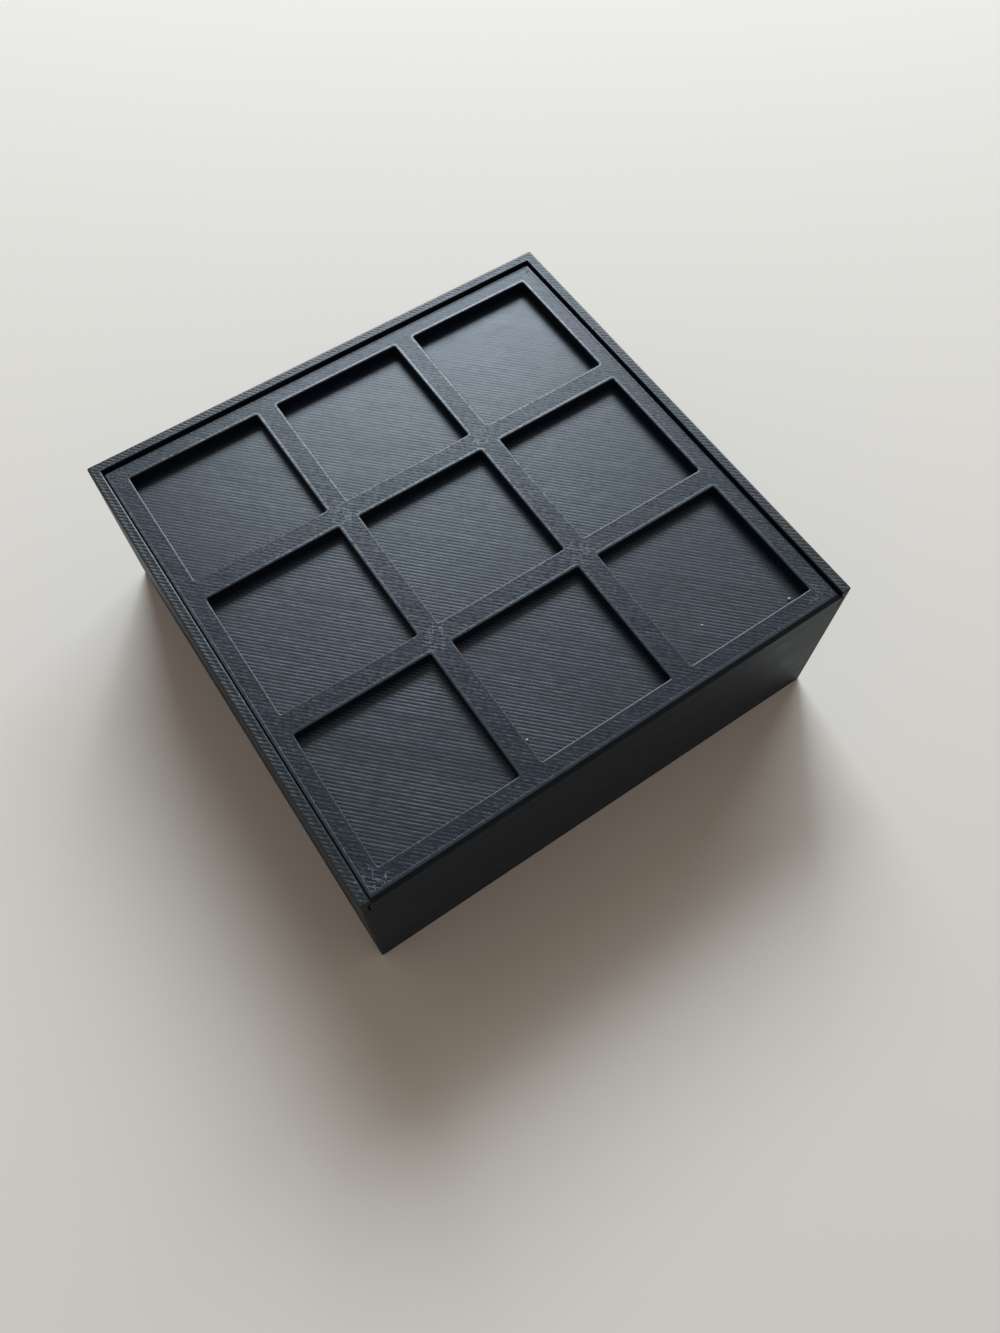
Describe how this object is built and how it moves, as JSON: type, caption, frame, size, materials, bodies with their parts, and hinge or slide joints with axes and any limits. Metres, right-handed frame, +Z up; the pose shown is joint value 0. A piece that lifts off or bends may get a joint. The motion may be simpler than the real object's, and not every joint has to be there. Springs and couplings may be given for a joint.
{
  "type": "stacking tic-tac-toe game",
  "caption": "Square game box whose dovetail sliding lid is a three by three board, holding nested square caps marked with a cross or a ring.",
  "frame": {"origin": "middle of the box's bottom face, halfway between its front and back and its left and right", "axes": "+Z up out of the board, -Y the front where the lid slides out, +X to the right seen from the front"},
  "size_m": [0.12, 0.1182, 0.0435],
  "materials": {
    "case_plastic": "satin printed plastic with visible layer and infill lines",
    "cross_plastic": "satin printed plastic with visible layer lines",
    "ring_plastic": "satin printed plastic with visible layer lines"
  },
  "bodies": {
    "box": {"box": "case_plastic"},
    "board_lid": {"board_lid": "case_plastic"},
    "cross_large_1": {"cross_large_1": "cross_plastic"},
    "cross_medium_1": {"cross_medium_1": "cross_plastic"},
    "cross_small_1": {"cross_small_1": "cross_plastic"},
    "cross_large_2": {"cross_large_2": "cross_plastic"},
    "cross_medium_2": {"cross_medium_2": "cross_plastic"},
    "cross_small_2": {"cross_small_2": "cross_plastic"},
    "cross_large_3": {"cross_large_3": "cross_plastic"},
    "cross_medium_3": {"cross_medium_3": "cross_plastic"},
    "cross_small_3": {"cross_small_3": "cross_plastic"},
    "ring_large_1": {"ring_large_1": "ring_plastic"},
    "ring_medium_1": {"ring_medium_1": "ring_plastic"},
    "ring_small_1": {"ring_small_1": "ring_plastic"},
    "ring_large_2": {"ring_large_2": "ring_plastic"},
    "ring_medium_2": {"ring_medium_2": "ring_plastic"},
    "ring_small_2": {"ring_small_2": "ring_plastic"},
    "ring_large_3": {"ring_large_3": "ring_plastic"},
    "ring_medium_3": {"ring_medium_3": "ring_plastic"},
    "ring_small_3": {"ring_small_3": "ring_plastic"}
  },
  "joints": [
    {"name": "lid_slide", "type": "slide", "parent": "box", "child": "board_lid", "axis": [0, -1, 0], "range_m": [0, 0.118]},
    {"name": "cross_large_1_lift", "type": "slide", "parent": "box", "child": "cross_large_1", "axis": [0, 0, 1], "range_m": [0, 0.002]},
    {"name": "cross_medium_1_lift", "type": "slide", "parent": "box", "child": "cross_medium_1", "axis": [0, 0, 1], "range_m": [0, 0.0047]},
    {"name": "cross_small_1_lift", "type": "slide", "parent": "box", "child": "cross_small_1", "axis": [0, 0, 1], "range_m": [0, 0.0047]},
    {"name": "cross_large_2_lift", "type": "slide", "parent": "box", "child": "cross_large_2", "axis": [0, 0, 1], "range_m": [0, 0.002]},
    {"name": "cross_medium_2_lift", "type": "slide", "parent": "box", "child": "cross_medium_2", "axis": [0, 0, 1], "range_m": [0, 0.0047]},
    {"name": "cross_small_2_lift", "type": "slide", "parent": "box", "child": "cross_small_2", "axis": [0, 0, 1], "range_m": [0, 0.0047]},
    {"name": "cross_large_3_lift", "type": "slide", "parent": "box", "child": "cross_large_3", "axis": [0, 0, 1], "range_m": [0, 0.002]},
    {"name": "cross_medium_3_lift", "type": "slide", "parent": "box", "child": "cross_medium_3", "axis": [0, 0, 1], "range_m": [0, 0.0047]},
    {"name": "cross_small_3_lift", "type": "slide", "parent": "box", "child": "cross_small_3", "axis": [0, 0, 1], "range_m": [0, 0.0047]},
    {"name": "ring_large_1_lift", "type": "slide", "parent": "box", "child": "ring_large_1", "axis": [0, 0, 1], "range_m": [0, 0.002]},
    {"name": "ring_medium_1_lift", "type": "slide", "parent": "box", "child": "ring_medium_1", "axis": [0, 0, 1], "range_m": [0, 0.0047]},
    {"name": "ring_small_1_lift", "type": "slide", "parent": "box", "child": "ring_small_1", "axis": [0, 0, 1], "range_m": [0, 0.0047]},
    {"name": "ring_large_2_lift", "type": "slide", "parent": "box", "child": "ring_large_2", "axis": [0, 0, 1], "range_m": [0, 0.002]},
    {"name": "ring_medium_2_lift", "type": "slide", "parent": "box", "child": "ring_medium_2", "axis": [0, 0, 1], "range_m": [0, 0.0047]},
    {"name": "ring_small_2_lift", "type": "slide", "parent": "box", "child": "ring_small_2", "axis": [0, 0, 1], "range_m": [0, 0.0047]},
    {"name": "ring_large_3_lift", "type": "slide", "parent": "box", "child": "ring_large_3", "axis": [0, 0, 1], "range_m": [0, 0.002]},
    {"name": "ring_medium_3_lift", "type": "slide", "parent": "box", "child": "ring_medium_3", "axis": [0, 0, 1], "range_m": [0, 0.0047]},
    {"name": "ring_small_3_lift", "type": "slide", "parent": "box", "child": "ring_small_3", "axis": [0, 0, 1], "range_m": [0, 0.0047]}
  ]
}
